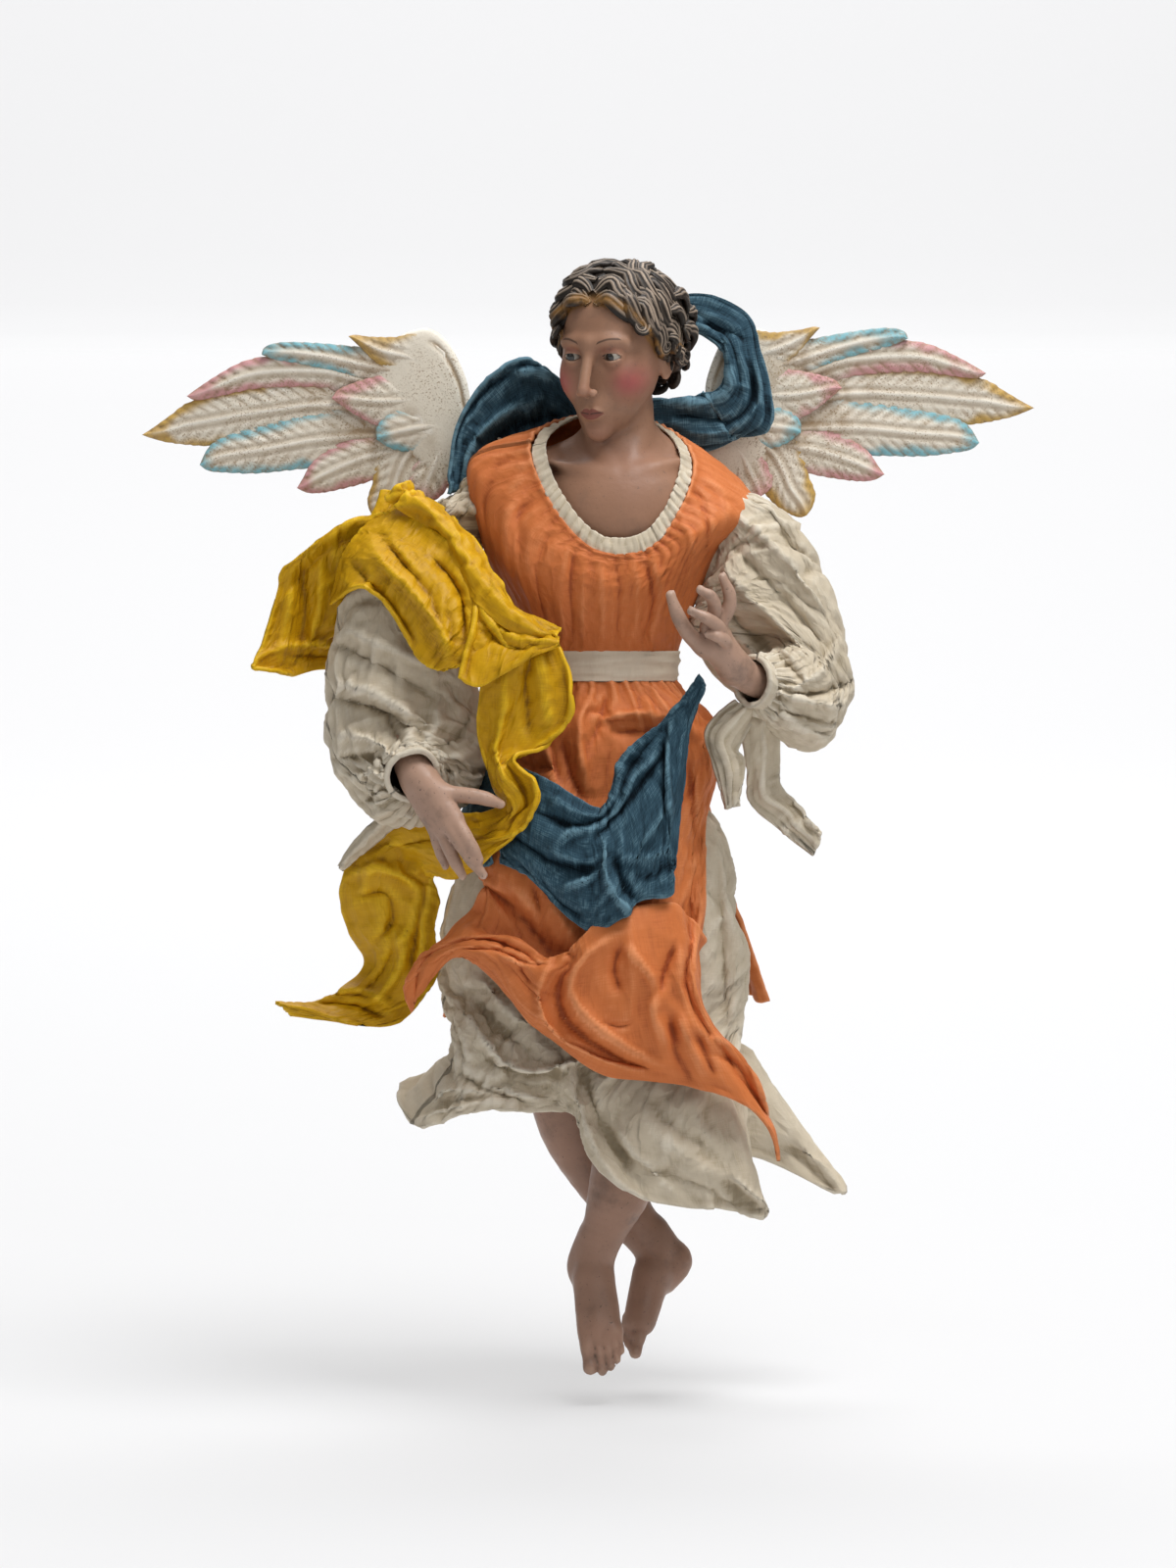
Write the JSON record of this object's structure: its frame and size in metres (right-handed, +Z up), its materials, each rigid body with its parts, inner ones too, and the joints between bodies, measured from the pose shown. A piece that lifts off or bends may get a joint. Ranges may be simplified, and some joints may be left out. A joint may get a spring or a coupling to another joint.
{
  "type": "hanging angel figurine",
  "caption": "Hanging crib angel with a painted clay head, carved wooden hands, legs and feathered wings, and flying cloth robes, scarf and shawl.",
  "frame": {"origin": "hanging point on the upper back, between the roots of the wings", "axes": "+X to the figure's left, -Y the way the figure faces, +Z up"},
  "size_m": [0.3228, 0.1099, 0.3994],
  "materials": {
    "painted_clay": "fired clay painted as skin, satin gloss, worn, with brown modelled hair",
    "painted_wood_skin": "carved wood painted as skin, grey dirt in the creases",
    "painted_wood_wing": "carved wood painted off-white, feather edges in ochre, light blue and pink",
    "tow_padding": "tow wound round and stuffed",
    "orange_silk": "plain-woven cloth with a soft sheen, creased",
    "cream_ribbon": "flat woven ribbon",
    "cream_linen": "fine linen, creased, slightly soiled",
    "yellow_silk": "plain-woven silk with stiffened rolled hems",
    "blue_linen": "coarse blue cloth, matt, creased"
  },
  "bodies": {
    "root": {"head_and_bust": "painted_clay", "right_hand": "painted_wood_skin", "left_hand": "painted_wood_skin", "right_leg": "painted_wood_skin", "left_leg": "painted_wood_skin", "right_wing": "painted_wood_wing", "left_wing": "painted_wood_wing", "stuffed_body": "tow_padding", "tunic_bodice": "orange_silk", "tunic_front": "orange_silk", "tunic_back": "orange_silk", "belt": "cream_ribbon", "neck_frill": "cream_linen", "right_sleeve": "cream_linen", "left_sleeve": "cream_linen", "underskirt": "cream_linen", "yellow_shawl": "yellow_silk", "blue_mantle": "blue_linen"}
  },
  "joints": []
}
